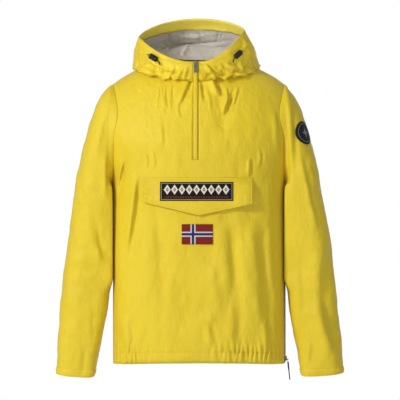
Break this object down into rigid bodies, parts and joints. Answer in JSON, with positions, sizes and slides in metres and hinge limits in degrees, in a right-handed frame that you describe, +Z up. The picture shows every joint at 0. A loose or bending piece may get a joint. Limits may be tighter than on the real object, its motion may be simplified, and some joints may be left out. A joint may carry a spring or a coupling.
{
  "type": "anorak pullover",
  "caption": "Hooded pull-on anorak with half zip, chest pocket flap, mesh-lined hood with cord locks and a zipped side vent, filled out as worn.",
  "frame": {"origin": "midway between the wearer's shoulders, where they hold the garment up", "axes": "+Z up, -Y the front, +X towards the wearer's left"},
  "size_m": [0.6867, 0.3469, 0.8712],
  "materials": {
    "shell_cloth": "matt woven cloth with a slight sheen",
    "lining_mesh": "matt knitted mesh",
    "black_cloth": "matt woven",
    "flag_cloth": "matt woven",
    "black_plastic": "satin moulded",
    "zip_metal": "satin grey metal"
  },
  "bodies": {
    "garment": {"front": "shell_cloth", "back": "shell_cloth", "sleeve_right": "shell_cloth", "sleeve_left": "shell_cloth", "hood_right": "shell_cloth", "hood_crown": "shell_cloth", "hood_left": "shell_cloth", "hood_facing": "shell_cloth", "pocket_flap": "shell_cloth", "front_zip": "shell_cloth", "hood_lining_right": "lining_mesh", "hood_lining_crown": "lining_mesh", "hood_lining_left": "lining_mesh", "flap_label": "black_cloth", "sleeve_badge": "black_cloth", "side_zip": "black_cloth", "hood_cord_right": "black_cloth", "hood_cord_left": "black_cloth", "hood_lock_right": "black_plastic", "hood_lock_left": "black_plastic", "side_zip_slider": "black_plastic", "flag_patch": "flag_cloth", "front_zip_slider": "zip_metal"},
    "front_tab": {"front_zip_tab": "zip_metal"},
    "side_pull": {"side_zip_pull": "black_plastic"}
  },
  "joints": [
    {"name": "front_tab_swing", "type": "hinge", "parent": "garment", "child": "front_tab", "pos_m": [-0.0085, -0.10852, 0.0065], "axis": [-1, 0, 0], "range_deg": [0, 150]},
    {"name": "side_pull_swing", "type": "hinge", "parent": "garment", "child": "side_pull", "pos_m": [0.21222, 0, -0.692], "axis": [0, -1, 0], "range_deg": [0, 18]}
  ]
}
